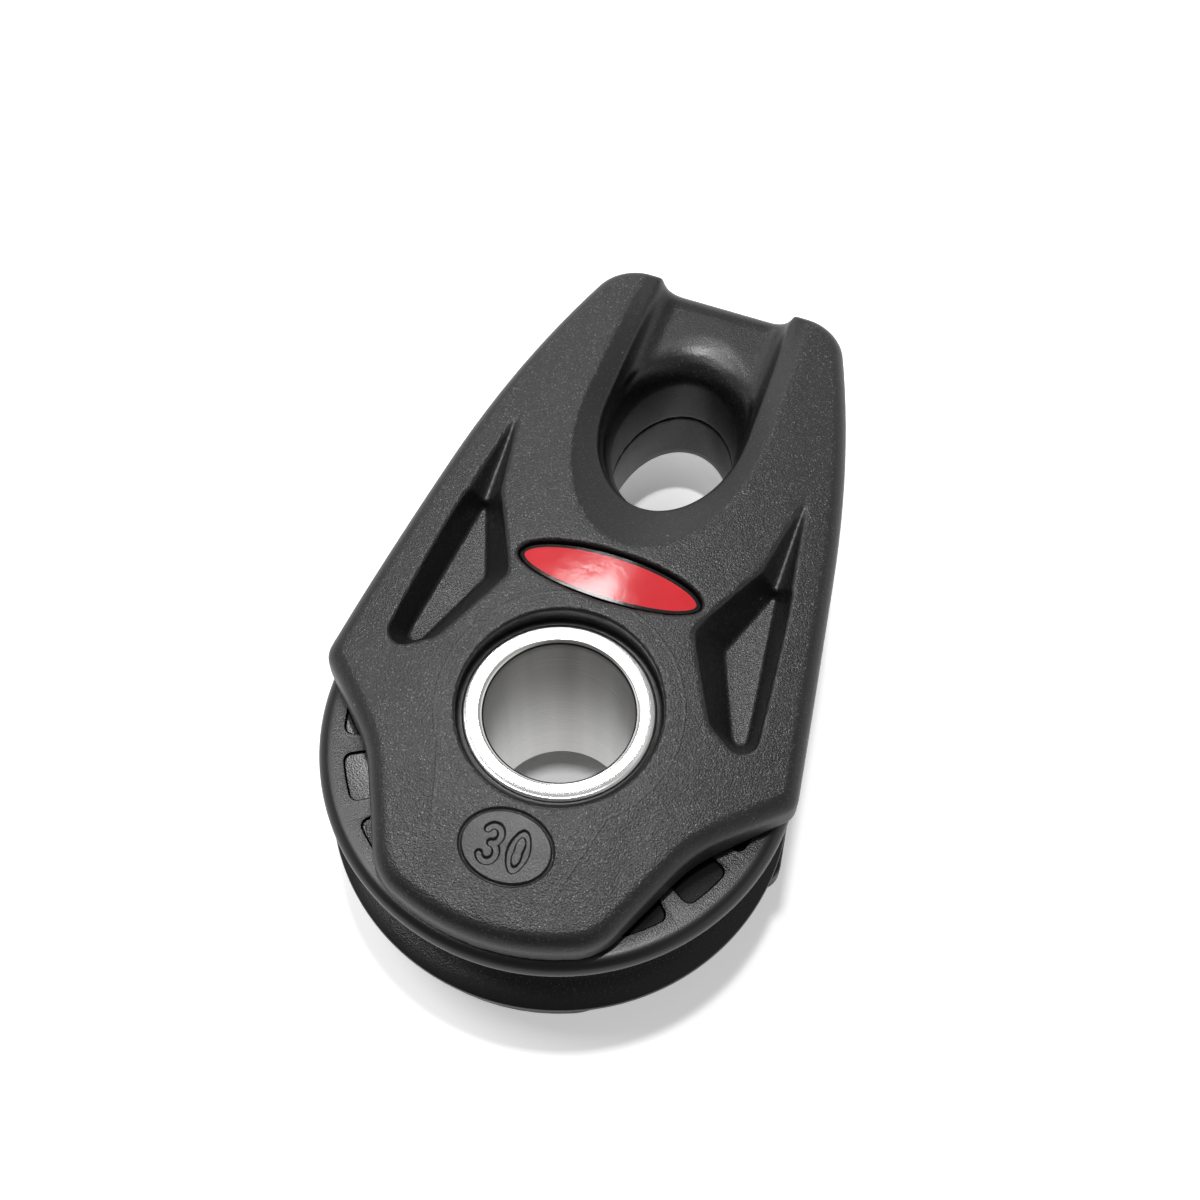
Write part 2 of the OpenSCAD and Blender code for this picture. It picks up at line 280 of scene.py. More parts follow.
FLOOR_HALF = 0.6
floor_bm = bmesh.new()
bmesh.ops.create_grid(floor_bm, x_segments=1, y_segments=1, size=FLOOR_HALF)
bmesh.ops.translate(floor_bm, verts=floor_bm.verts, vec=(0, 0, CAD_BOX[0][2]))
floor_mesh = bpy.data.meshes.new("floor")
floor_bm.to_mesh(floor_mesh)
floor_bm.free()
floor = add_object("floor", floor_mesh)
floor.data.materials.append(white_floor())
print("floor at", round(CAD_BOX[0][2] * 1000, 2), "mm")

# %% [markdown]
# Four soft lamps do the rest. One hangs straight above and keeps the shadow close round the block. A
# small one behind it is what the level steel ring, the sheave's panels and the badge mirror into the
# camera. A broad one at the upper left gives the faces their sheen, and a weak one low at the back
# left lights the head's left shoulder.

# %% Lamps
def soft_lamp(name, place, side, watts):
    """A rectangular area lamp that points at the block; its side is width and length in metres."""
    light = bpy.data.lights.new(name, "AREA")
    light.shape = "RECTANGLE"
    light.size, light.size_y = side
    light.energy = watts
    lamp = bpy.data.objects.new(name, light)
    lamp.location = place
    lamp.rotation_euler = (-Vector(place)).to_track_quat("-Z", "Y").to_euler()
    scene.collection.objects.link(lamp)


soft_lamp("overhead", (-0.007, 0.018, 0.40), (0.02, 0.02), 0.8)
soft_lamp("overhead_back", (-0.077, 0.166, 0.365), (0.08, 0.065), 0.32)
soft_lamp("overhead_left", (-0.165, -0.01, 0.363), (0.16, 0.16), 0.6)
soft_lamp("back_left", (-0.18, 0.31, 0.21), (0.16, 0.16), 0.15)
print("lamps:", len(bpy.data.lights))

# %% [markdown]
# Moulded plastic with short fibres has a fine sparkling grain where the mould was etched, and is
# smooth where it was polished. One group makes that grain: a fine bump, a scatter of bright specks,
# which the materials lift in colour as painted glints of the fibres, and a slow mottling. Each
# material sets its own grain size.

# %% Grain group
def new_group(name, ins, outs):
    """An empty shader group with number sockets: its inputs with their values, and its outputs."""
    group = bpy.data.node_groups.new(name, "ShaderNodeTree")
    for label, value in ins:
        socket = group.interface.new_socket(name=label, in_out="INPUT", socket_type="NodeSocketFloat")
        socket.default_value = value
    for label in outs:
        group.interface.new_socket(name=label, in_out="OUTPUT", socket_type="NodeSocketFloat")
    return group, node(group, "NodeGroupInput").outputs, node(group, "NodeGroupOutput").inputs


def cells_of(tree, place, scale):
    """Distance from the nearest of many scattered points, and the chance number of that point."""
    cells = node(tree, "ShaderNodeTexVoronoi", {"Vector": place, "Scale": scale}).outputs
    return cells["Distance"], node(tree, "ShaderNodeSeparateColor", {0: cells["Color"]}).outputs


def build_grain():
    """A fine relief, bright specks in a third of the cells, used as painted glints, and a slow mottling."""
    group, ins, outs = new_group("moulded_grain", [("Cells per metre", 7000.0)],
                                 ["Height", "Glint", "Mottle"])
    place = own_place(group)
    fine = node(group, "ShaderNodeTexNoise", {"Vector": place, "Scale": ins[0], "Detail": 1.5,
                                              "Roughness": 0.6})
    distance, chances = cells_of(group, place, ins[0])
    lucky = ranged(group, chances[0], 0.70, 1.0)
    dot = ranged(group, distance, 0.45, 0.15)
    group.links.new(fine.outputs["Fac"], outs["Height"])
    group.links.new(maths(group, "MULTIPLY", lucky, dot), outs["Glint"])
    group.links.new(clouds(group, place, 420.0, 4.0), outs["Mottle"])
    return group


GRAIN = build_grain()
print("grain group has", len(GRAIN.nodes), "nodes")

# %% [markdown]
# The cheeks are charcoal glass-filled plastic. Four masks painted on the mesh steer the finish:
# "grain" is 1 on the etched faces, "polish" is higher where the mould was smooth, as in the saddle
# and the eye, a third mask is 1 on the pocket floors, whose colour is lifted as a painted sheen for
# the light their coarser etching catches, and "seam" is the distance to a witness line. Rare pale
# dust specks keep the surface from looking like a drawing.

# %% Cheek plastic
DUST_SHARE = 0.05
DUST_COLOUR = (0.11, 0.107, 0.1, 1)
# Where the witness line ends and where it is full, in millimetres from its middle, and its height.
SEAM_LINE = (0.11, 0.03)
SEAM_HEIGHT = 0.25
# How much lighter than the plain colour the pocket floors with their painted sheen, the crests of the grain
# and the line are.
FLOOR_SHEEN_LIFT, CREST_LIFT, SEAM_LIFT = 4, 5, 4
CRESTS = (0.5, 0.68)
MOTTLING = (0.75, 1.25)
GLOSS_ROUGH = (0.08, 0.15)
SATIN_RELIEF, GLOSS_RELIEF = 0.12, 0.08


def build_dust():
    """Small dots, each in one of many large cells."""
    group, ins, outs = new_group("dust", [("Amount", 0.5)], ["Dust"])
    distance, chances = cells_of(group, own_place(group), 900.0)
    chosen = maths(group, "GREATER_THAN", chances[1], maths(group, "SUBTRACT", 1.0, ins[0]))
    dot = ranged(group, distance, 0.09, 0.05)
    group.links.new(maths(group, "MULTIPLY", chosen, dot), outs["Dust"])
    return group


DUST = build_dust()


def plastic(name, colour, lift, rough, cells, depth):
    """Moulded plastic: its colour, how much the specks' painted glints lift it, roughness, and the grain's
    size.
    """
    material, tree, shader = new_material(name)
    height, glint, mottle = node(tree, "ShaderNodeGroup", {0: cells}, node_tree=GRAIN).outputs
    dust = node(tree, "ShaderNodeGroup", {0: DUST_SHARE}, node_tree=DUST).outputs[0]
    mask, polish, floor_sheen, seam = (node(tree, "ShaderNodeAttribute", attribute_name=layer).outputs["Fac"]
                                for layer in ("grain", "polish", "floor_sheen", "seam"))
    flash = ranged(tree, maths(tree, "ABSOLUTE", seam), *SEAM_LINE)
    # The specks lift the colour on the etched faces as painted glints of the fibres; the lower roughness they
    # get below is real.
    painted_glints = maths(tree, "MULTIPLY", glint, mask)
    crests = maths(tree, "MULTIPLY", ranged(tree, height, *CRESTS), mask)
    lit = maths(tree, "MULTIPLY", flash, 0.5)
    tone = mix_colour(tree, mottle, shade(colour, MOTTLING[0]), shade(colour, MOTTLING[1]))
    # In this loop the pocket floors' lift is a painted sheen, and the specks' lift is a painted glint.
    for share, lighter in ((floor_sheen, FLOOR_SHEEN_LIFT), (crests, CREST_LIFT), (painted_glints, lift), (lit, SEAM_LIFT)):
        tone = mix_colour(tree, share, tone, shade(colour, lighter))
    tone = mix_colour(tree, dust, tone, DUST_COLOUR)
    satin = mix_value(tree, mottle, rough - 0.06, rough + 0.04)
    cloudy = mix_value(tree, mottle, rough - 0.09, rough + 0.09)
    etched = mix_value(tree, glint, cloudy, rough - 0.14)
    glossy = mix_value(tree, mottle, *GLOSS_ROUGH)
    roughness = mix_value(tree, polish, mix_value(tree, mask, satin, etched), glossy)
    level = mix_value(tree, polish, mix_value(tree, mask, SATIN_RELIEF, 1.0), GLOSS_RELIEF)
    relief = maths(tree, "MULTIPLY_ADD", flash, SEAM_HEIGHT, maths(tree, "MULTIPLY", height, level))
    finish(tree, shader, tone, roughness, relief, depth)
    return material


CHEEK = plastic("cheek_plastic", (0.0052, 0.0053, 0.0054), 40.0, 0.42, 8500.0, 0.06)
print("cheek plastic has", len(CHEEK.node_tree.nodes), "nodes")

# %% [markdown]
# Each cheek starts as a merged copy of its solid. A fine voxel remesh turns the long facets into an
# even skin, and smoothing rounds every edge as a mould does, but less round the hub, where the recess
# has a crisp edge. Modelling it again by hand would only risk leaving the solid's true shape.

# %% Skin helpers
VOXEL = mm(0.13)
SKIN_TRIANGLES = 195000
# Rounds of smoothing everywhere, and the distances from the hub beyond which each further one acts.
ROUNDS = 2
CRISP_R = (6.5, 6.75, 7.0)


def modified(obj, kind, **settings):
    """Apply one modifier and keep the result as the object's mesh."""
    modifier = obj.modifiers.new(kind.lower(), kind)
    for key, value in settings.items():
        setattr(modifier, key, value)
    bpy.context.view_layer.update()
    result = bpy.data.meshes.new_from_object(obj.evaluated_get(bpy.context.evaluated_depsgraph_get()))
    obj.modifiers.clear()
    old = obj.data
    obj.data = result
    bpy.data.meshes.remove(old)


def smooth_skin(obj, rounds, chosen=None):
    """Relax the skin, all of it or the vertices for which chosen(co) is true."""
    bm = bmesh.new()
    bm.from_mesh(obj.data)
    verts = [v for v in bm.verts if chosen is None or chosen(v.co)]
    for _ in range(rounds):
        bmesh.ops.smooth_vert(bm, verts=verts, factor=0.5,
                              use_axis_x=True, use_axis_y=True, use_axis_z=True)
    bm.to_mesh(obj.data)
    bm.free()


def skin_of(solid, name):
    """An even, softly rounded skin over a copy of a solid."""
    bm = bmesh.new()
    bm.from_mesh(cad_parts[solid].data)
    bmesh.ops.remove_doubles(bm, verts=bm.verts, dist=mm(0.001))
    mesh = bpy.data.meshes.new(name)
    bm.to_mesh(mesh)
    bm.free()
    skin = add_object(name, mesh)
    modified(skin, "REMESH", mode="VOXEL", voxel_size=VOXEL, use_smooth_shade=True)
    smooth_skin(skin, ROUNDS)
    for limit in CRISP_R:
        smooth_skin(skin, 1, lambda co: co.xy.length > mm(limit))
    return skin


print("voxel", round(VOXEL / MM, 2), "mm")

# %% [markdown]
# Below the hub the mould leaves a small oval with the sheave's size in it. The skin is subdivided
# there and its vertices are pressed in along the strokes: the ring of the oval, two bowls for the 3
# and an ellipse for the 0. That gives the soft shoulders of a moulded mark, which a boolean would
# leave as hard walls with ragged shading. Last, a decimation keeps the flat parts of the skin light,
# and the full skin hands its normals on, so that the glossy eye shows no facets.

# %% Strokes of the size mark
MARK_CENTRE = (0.0, -9.13)
MARK_HALF = (2.8, 2.15)
MARK_LINE, NUMBER_LINE = 0.08, 0.21
MARK_SOFT = 0.12
MARK_DEPTH = 0.16
MARK_MARGIN = 1.12
FACE_LOW = 7.0
# Each bowl of the 3: its middle, its half lengths and the angles between which it is drawn.
BOWLS = (((-0.95, -8.66), (0.46, 0.51), -90, 155), ((-0.95, -9.72), (0.50, 0.55), -155, 90))
ZERO = ((0.78, -9.18), (0.46, 1.08))


def ramp(values, low, high):
    """0 below low, 1 above high and a soft step between."""
    t = np.clip((values - low) / (high - low), 0, 1)
    return t * t * (3 - 2 * t)


def to_ellipse(x, y, middle, half):
    """Distance to an ellipse along the line to its middle, and the angle there in degrees."""
    dx, dy = x - middle[0], y - middle[1]
    share = np.hypot(dx / half[0], dy / half[1]) + 1e-9
    return abs(1 - 1 / share) * np.hypot(dx, dy), np.degrees(np.arctan2(dy / half[1], dx / half[0]))


def to_bowl(x, y, middle, half, start, end):
    """Distance to the part of an ellipse between two angles."""
    distance, angle = to_ellipse(x, y, middle, half)
    for tip in (start, end):
        turn = math.radians(tip)
        place = (middle[0] + half[0] * math.cos(turn), middle[1] + half[1] * math.sin(turn))
        gap = np.hypot(x - place[0], y - place[1])
        distance = np.where((angle < start) | (angle > end), np.inf, distance) if tip == start else distance
        distance = np.minimum(distance, gap)
    return distance


def pressed(x, y):
    """How far the size mark is pressed in at a point, from 0 to 1."""
    oval = to_ellipse(x, y, MARK_CENTRE, MARK_HALF)[0] - MARK_LINE
    strokes = [to_bowl(x, y, *bowl) for bowl in BOWLS] + [to_ellipse(x, y, *ZERO)[0]]
    number = np.minimum.reduce(strokes) - NUMBER_LINE
    return ramp(-np.minimum(oval, number), -MARK_SOFT / 2, MARK_SOFT / 2)


print("pressed at the oval's edge and beside it:", pressed(np.array([2.8, 2.4]), np.array([-9.13, -9.13])))

# %% Cheek skins with their mark
def on_mark(place, side):
    """Whether a place on the skin is on the size mark or close round it."""
    x, y = place.x / MM - MARK_CENTRE[0], place.y / MM - MARK_CENTRE[1]
    return place.z * side > mm(FACE_LOW) and math.hypot(x / MARK_HALF[0], y / MARK_HALF[1]) < MARK_MARGIN


def press_mark(skin, side):
    """Refine the skin under the mark and press the mark in, so that it reads right from outside."""
    bm = bmesh.new()
    bm.from_mesh(skin.data)
    under = {v for v in bm.verts if on_mark(v.co, side)}
    edges = [edge for edge in bm.edges if edge.verts[0] in under and edge.verts[1] in under]
    bmesh.ops.subdivide_edges(bm, edges=edges, cuts=3, use_grid_fill=True)
    bm.to_mesh(skin.data)
    bm.free()
    co = np.empty(len(skin.data.vertices) * 3, dtype=np.float32)
    skin.data.vertices.foreach_get("co", co)
    x, y, z = (co[axis::3] / MM for axis in range(3))
    co[2::3] -= side * mm(MARK_DEPTH) * pressed(x * side, y) * (z * side > FACE_LOW)
    skin.data.vertices.foreach_set("co", co)


def finished_skin(solid, name, side):
    """The skin of one cheek with its mark, on the side +1 or -1 of the middle plane."""
    skin = skin_of(solid, name)
    press_mark(skin, side)
    thinned = skin.vertex_groups.new(name="thinned")
    thinned.add([v.index for v in skin.data.vertices if not on_mark(v.co, side)], 1.0, "REPLACE")
    skin.data.shade_smooth()
    triangles = 2 * len(skin.data.polygons)
    if triangles > SKIN_TRIANGLES:
        full = add_object("full_skin", skin.data.copy())
        modified(skin, "DECIMATE", ratio=SKIN_TRIANGLES / triangles, vertex_group="thinned")
        skin.data.shade_smooth()
        modified(skin, "DATA_TRANSFER", object=full, use_loop_data=True, data_types_loops={"CUSTOM_NORMAL"},
                 loop_mapping="POLYINTERP_NEAREST")
        bpy.data.objects.remove(full)
    print(name, "has", len(skin.data.polygons), "faces")
    return skin


front = finished_skin("front_cheek", "front_cheek_skin", 1)
rear = finished_skin("rear_cheek", "rear_cheek_skin", -1)


# %% [markdown]
# The masks follow the shape: the etched face is wherever the skin still lies on the crowned surface
# and faces outwards, and the pocket floors lie level lower down. All else has a third of the grain.
# The eye, the saddle and the rounded rim shine more, and the recess round the hub is plain. Round the
# hub runs the witness line of a mould insert, shaped like a keyhole. It is stored as the distance to
# the line, which stays exact between vertices.

# %% Masks on the cheeks
CREST_Z = 9.65
CREST_Y = 8.0
NEAR_CROWN_R, HEAD_CROWN_R, CROSS_CROWN_R = 95.0, 160.0, 58.0
RECESS_R = 6.8
INSERT_R = 7.55
INSERT_LEFT = ((-4.0, -11.5), (-7.5, 0.5))
INSERT_RIGHT = ((3.5, -11.5), (6.6, 0.5))
SEAM_LOW = -12.0
NO_SEAM = 9.0
SATIN_GRAIN = 0.3
OVAL_SMOOTH = 0.7
EYE_POLISH, RIM_POLISH = 0.34, 0.2
# How level the skin is on the etched face and on a pocket's floor, and where each kind of surface
# starts and is full, as depths below the crown.
LEVEL, FLOOR_LEVEL = (0.90, 0.97), (0.97, 0.99)
FACE_DEPTH, FLOOR_DEPTH, EYE_DEPTH = (0.12, 0.04), (1.5, 1.8), (0.9, 1.3)
RIM_TOP, RIM_END = (0.05, 0.25), (1.3, 0.9)
MARK_HIGH_Y = -6.0
POCKET_X, POCKET_Z, POCKET_HIGH_Y = 7.5, 5.5, 20.0
EYE_X, EYE_Y = 4.4, (17.4, 17.9)


def crown_height(x, y):
    """Height of the crowned face over a point, all in millimetres."""
    along = np.where(y < CREST_Y, NEAR_CROWN_R, HEAD_CROWN_R)
    return CREST_Z - (y - CREST_Y) ** 2 / (2 * along) - x ** 2 / (2 * CROSS_CROWN_R)


def paint(obj, name, values):
    """Store a number on every vertex."""
    layer = obj.data.attributes.new(name, "FLOAT", "POINT")
    layer.data.foreach_set("value", values.astype(np.float32))


def places_of(obj):
    """Places of all vertices in millimetres."""
    co = np.empty(len(obj.data.vertices) * 3, dtype=np.float32)
    obj.data.vertices.foreach_get("co", co)
    return co.reshape(-1, 3) * 1000


def normals_of(obj):
    """Normals of all vertices."""
    no = np.empty(len(obj.data.vertices) * 3, dtype=np.float32)
    obj.data.vertex_normals.foreach_get("vector", no)
    return no.reshape(-1, 3)


def beyond(x, y, start, end):
    """Signed distance of points to the line from start to end, positive on its right."""
    dx, dy = end[0] - start[0], end[1] - start[1]
    return ((x - start[0]) * dy - (y - start[1]) * dx) / math.hypot(dx, dy)


def keyhole(x, y):
    """Signed distance to the insert's outline: a circle round the hub and a skirt below it."""
    circle = np.hypot(x, y) - INSERT_R
    skirt = np.maximum(-beyond(x, y, *INSERT_LEFT), beyond(x, y, *INSERT_RIGHT))
    return np.minimum(circle, np.maximum(skirt, y))


def paint_cheek(obj, side):
    """The masks of a cheek on the side +1 or -1 of the middle plane; lengths in millimetres."""
    x, y, z = places_of(obj).T * np.array([[1], [1], [side]], dtype=np.float32)
    up = normals_of(obj)[:, 2] * side
    depth = crown_height(x, y) - z
    mark = MARK_DEPTH * (y < MARK_HIGH_Y)
    face = ramp(-depth, -FACE_DEPTH[0] - mark, -FACE_DEPTH[1] - mark) * ramp(up, *LEVEL)
    pocket = (z > POCKET_Z) * (abs(x) > POCKET_X) * (y < POCKET_HIGH_Y)
    floor = ramp(up, *FLOOR_LEVEL) * ramp(depth, *FLOOR_DEPTH) * pocket
    eye = (abs(x) < EYE_X) * ramp(y, *EYE_Y) * ramp(depth, *EYE_DEPTH)
    rim = ramp(depth, *RIM_TOP) * ramp(-depth, -RIM_END[0], -RIM_END[1]) * ramp(0.98 - up, 0.0, 0.2)
    oval = np.hypot((x - MARK_CENTRE[0]) / MARK_HALF[0], (y - MARK_CENTRE[1]) / MARK_HALF[1])
    face = face * (1 - OVAL_SMOOTH * ramp(-oval, -1.0, -0.95))
    outside = np.hypot(x, y) > RECESS_R
    paint(obj, "grain", np.maximum(np.maximum(face, floor), SATIN_GRAIN * outside))
    paint(obj, "polish", np.maximum(EYE_POLISH * eye, RIM_POLISH * rim * outside))
    # The pocket floors' mask, which lifts their colour as a painted sheen.
    paint(obj, "floor_sheen", floor)
    paint(obj, "seam", np.where((depth < 0.3) & (y > SEAM_LOW), keyhole(x * side, y), NO_SEAM))
    print(obj.name, "etched share", round(float(face.mean()), 2))


paint_cheek(front, 1)
paint_cheek(rear, -1)
for cheek, solid in ((front, "front_cheek"), (rear, "rear_cheek")):
    cheek.data.materials.clear()
    cheek.data.materials.append(CHEEK)
    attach(cheek, "block")
    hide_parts(solid)

# %% [markdown]
# The hub is a stainless tube whose ends are rolled over the cheeks. A closed section of a few
# corners is rounded with a bevel and spun once round the axis.

# %% Hub tube
STEPS = 240


def section(bm, corners):
    """A closed loop of straight edges in the XZ plane, from radius and height pairs in millimetres."""
    verts = [bm.verts.new(mm(r, 0, z)) for r, z in corners]
    for i, vert in enumerate(verts):
        bm.edges.new((vert, verts[(i + 1) % len(verts)]))
    return verts


def round_corner(bm, verts, offset, segments):
    """Round corners of a section; the offset is measured along its edges."""
    bmesh.ops.bevel(bm, geom=verts, offset=mm(offset), segments=segments, profile=0.5,
                    affect="VERTICES", material=-1)


def spin_section(bm, steps):
    """Turn a section once round the hub's axis."""
    bmesh.ops.spin(bm, geom=bm.verts[:] + bm.edges[:], cent=(0, 0, 0), axis=(0, 0, 1), angle=math.tau,
                   steps=steps, use_merge=True)


def steel():
    """Stainless steel: polished on the rings, brushed and streaked in the bore, dark near the bore's top as
    painted shade and bright towards its bottom as a painted reflection of lit paper.
    """
    material, tree, shader = new_material("stainless")
    place = own_place(tree)
    around = node(tree, "ShaderNodeMapping", {"Vector": place, "Scale": (60, 60, 9000)}).outputs[0]
    lines = clouds(tree, around, 1.0, 3.0)
    cloud = clouds(tree, place, 300.0, 3.0)
    along = node(tree, "ShaderNodeMapping", {"Vector": place, "Scale": (260, 260, 12)}).outputs[0]
    streak = ranged(tree, clouds(tree, along, 1.0, 3.0), 0.36, 0.64)
    bore = node(tree, "ShaderNodeAttribute", attribute_name="bore").outputs["Fac"]
    up = node(tree, "ShaderNodeSeparateXYZ", {0: place}).outputs["Z"]
    # The bore's wall colour is painted: dark near its top as painted shade, bright towards its bottom as a
    # painted reflection of the lit paper under the tube.
    upper = mix_colour(tree, streak, (0.085, 0.083, 0.078, 1), (0.15, 0.148, 0.14, 1))
    lower = mix_colour(tree, streak, (0.43, 0.426, 0.41, 1), (0.58, 0.575, 0.56, 1))
    painted_bore_light = mix_colour(tree, ranged(tree, up, mm(5), mm(-8.5), smooth=True), upper, lower)
    scored = mix_colour(tree, lines, shade(WHITE[:3], 0.8), shade(WHITE[:3], 1.2))
    turned = mix_colour(tree, 1.0, scored, painted_bore_light, "MULTIPLY")
    bright = mix_colour(tree, cloud, (0.86, 0.86, 0.85, 1), (0.93, 0.93, 0.92, 1))
    shader.inputs["Anisotropic"].default_value = 0.6
    shader.inputs["Metallic"].default_value = 1.0
    rough = mix_value(tree, bore, mix_value(tree, cloud, 0.10, 0.17), mix_value(tree, lines, 0.22, 0.38))
    tone = mix_colour(tree, bore, bright, turned)
    finish(tree, shader, tone, rough, maths(tree, "MULTIPLY", lines, bore), 0.012)
    return material


# The ring as the photograph shows it: a little wider and lower than the solid's.
RING_WIDER, RING_LOWER = 0.18, 0.5
tube_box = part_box("hub_tube")
RING_R = tube_box[1][0] / MM + RING_WIDER
TUBE_HALF = tube_box[1][2] / MM - RING_LOWER
BORE_R = 4.6
TUBE_R = BORE_R + 0.65
RING_LOW = TUBE_HALF - 0.6
BRUSHED_HALF = 7.5
OUTER_ROUND, INNER_ROUND = 0.28, 0.35
tube_bm = bmesh.new()
corners = section(tube_bm, [
    (BORE_R, -TUBE_HALF), (RING_R, -TUBE_HALF), (RING_R, -RING_LOW), (TUBE_R, -RING_LOW),
    (TUBE_R, RING_LOW), (RING_R, RING_LOW), (RING_R, TUBE_HALF), (BORE_R, TUBE_HALF),
    (BORE_R, BRUSHED_HALF), (BORE_R, -BRUSHED_HALF)])
round_corner(tube_bm, [corners[i] for i in (1, 6)], OUTER_ROUND, 6)
round_corner(tube_bm, [corners[i] for i in (0, 7)], INNER_ROUND, 6)
spin_section(tube_bm, STEPS)
tube = object_from(tube_bm, "hub_tube_steel")
sharpen(tube, 40)
x, y, z = places_of(tube).T
paint(tube, "bore", (np.hypot(x, y) < BORE_R + 0.05) * ramp(-abs(z), -TUBE_HALF + 0.9, -BRUSHED_HALF))
tube.data.materials.append(steel())
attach(tube, "block")
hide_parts("hub_tube")
print("hub tube has", len(tube.data.polygons), "faces")

# %% [markdown]
# The sheave is turned from one section: two rims with a soft outer edge and a thin crisp bevel
# towards the groove, a round groove for the rope, and the bearing's track inside. Its faces carry a
# ring of shallow panels, cut with a boolean because their corners are round.

# %% Sheave
SHEAVE_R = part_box("sheave")[1][0] / MM
SHEAVE_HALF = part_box("sheave")[1][2] / MM
GROOVE_R = 3.2
GROOVE_CENTRE = 22.4 / 2 + GROOVE_R
FLANK = math.radians(15)
TRACK_R = 9.54
RIB_R = 8.4
RIB_HALF = 0.66
RIM_ROUND, LIP_ROUND = 0.85, 0.12
flank_tip = GROOVE_CENTRE - GROOVE_R / math.sin(FLANK)
lip_z = (SHEAVE_R - flank_tip) * math.tan(FLANK)


def round_groove(bm, tip):
    """Swap the tip between the two flanks for an arc that touches both."""
    ends = [edge.other_vert(tip) for edge in tip.link_edges]
    bmesh.ops.delete(bm, geom=[tip], context="VERTS")
    lower, upper = sorted(ends, key=lambda v: v.co.z)
    touch = bm.verts.new(mm(GROOVE_CENTRE - GROOVE_R * math.sin(FLANK), 0, -GROOVE_R * math.cos(FLANK)))
    bm.edges.new((lower, touch))
    swept = bmesh.ops.spin(bm, geom=[touch], cent=mm(GROOVE_CENTRE, 0, 0), axis=(0, 1, 0),
                           angle=math.pi - 2 * FLANK, steps=24)
    bm.edges.new((swept["geom_last"][0], upper))


sheave_bm = bmesh.new()
corners = section(sheave_bm, [
    (TRACK_R, -SHEAVE_HALF), (SHEAVE_R, -SHEAVE_HALF), (SHEAVE_R, -lip_z), (flank_tip, 0),
    (SHEAVE_R, lip_z), (SHEAVE_R, SHEAVE_HALF), (TRACK_R, SHEAVE_HALF), (TRACK_R, RIB_HALF),
    (RIB_R, RIB_HALF), (RIB_R, -RIB_HALF), (TRACK_R, -RIB_HALF)])
round_groove(sheave_bm, corners[3])
round_corner(sheave_bm, [corners[1], corners[5]], RIM_ROUND, 8)
round_corner(sheave_bm, [corners[2], corners[4]], LIP_ROUND, 2)
spin_section(sheave_bm, STEPS)
sheave = object_from(sheave_bm, "sheave_wheel")
print("sheave has", len(sheave.data.polygons), "faces before its panels")

# %% [markdown]
# A panel is a face between four corners. Its long sides are bent to the sheave's circle, its
# corners rounded, and its floor inset and raised, which leaves a fine dark moat round it.

# %% Sheave panels
PANELS = 18
FIRST_PANEL = math.radians(11.5)
PANEL_IN, PANEL_OUT = 10.6, 13.45
PANEL_HALF = math.radians(8.33)
PANEL_TAPER = 0.86
PANEL_ROUND = 0.55
PANEL_DEPTH = 0.2
MOAT_W, MOAT_DEPTH = 0.13, 0.1


def verts_in(geom):
    """The vertices among mixed geometry."""
    return [part for part in geom if isinstance(part, bmesh.types.BMVert)]


def panel_cutter(bm):
    """The first panel's cutter, on the front face."""
    outer_half = PANEL_TAPER * PANEL_HALF
    ends = [(PANEL_IN, -PANEL_HALF), (PANEL_OUT, -outer_half), (PANEL_OUT, outer_half), (PANEL_IN, PANEL_HALF)]
    low = SHEAVE_HALF - PANEL_DEPTH - MOAT_DEPTH
    places = [mm(r * math.cos(FIRST_PANEL + a), r * math.sin(FIRST_PANEL + a), low) for r, a in ends]
    verts = [bm.verts.new(place) for place in places]
    sides = [bm.edges.new((verts[i], verts[(i + 1) % 4])) for i in range(4)]
    bmesh.ops.bisect_edges(bm, edges=[sides[1], sides[3]], cuts=5)
    for vert in bm.verts:
        r = PANEL_OUT if vert.co.xy.length > mm((PANEL_IN + PANEL_OUT) / 2) else PANEL_IN
        vert.co.xy = vert.co.xy.normalized() * mm(r)
    ends = [v for v in bm.verts if any((v.co - place).length < mm(0.001) for place in places)]
    round_corner(bm, ends, PANEL_ROUND, 5)
    floor = bmesh.ops.contextual_create(bm, geom=bm.edges[:])["faces"][0]
    lid = bmesh.ops.extrude_face_region(bm, geom=[floor])["geom"]
    bmesh.ops.translate(bm, verts=verts_in(lid), vec=mm(0, 0, 1))
    floor = min(bm.faces, key=lambda f: f.calc_center_median().z)
    bmesh.ops.inset_region(bm, faces=[floor], thickness=mm(MOAT_W))
    bmesh.ops.translate(bm, verts=floor.verts, vec=mm(0, 0, MOAT_DEPTH))


def panels_mesh():
    """The cutters of every panel of both faces, in one object."""
    bm = bmesh.new()
    panel_cutter(bm)
    first = bm.verts[:] + bm.edges[:] + bm.faces[:]
    for i in range(1, PANELS):
        copied = bmesh.ops.duplicate(bm, geom=first)["geom"]
        turn = Matrix.Rotation(i * math.tau / PANELS, 3, "Z")
        bmesh.ops.rotate(bm, verts=verts_in(copied), cent=(0, 0, 0), matrix=turn)
    half = bm.verts[:] + bm.edges[:] + bm.faces[:]
    bmesh.ops.mirror(bm, geom=half, matrix=Matrix.Identity(4), merge_dist=0, axis="Z")
    return object_from(bm, "panel_cutters")


cutters = panels_mesh()
modified(sheave, "BOOLEAN", operation="DIFFERENCE", object=cutters, solver="EXACT")
bpy.data.objects.remove(cutters)
sheave.data.shade_smooth()
sharpen(sheave, 35)
print("sheave has", len(sheave.data.polygons), "faces")

# %% [markdown]
# The sheave is the same family of plastic, a little darker. Its faces and its groove are etched with
# a fine grain, its rims are polished by the mould and its panels are glossy.

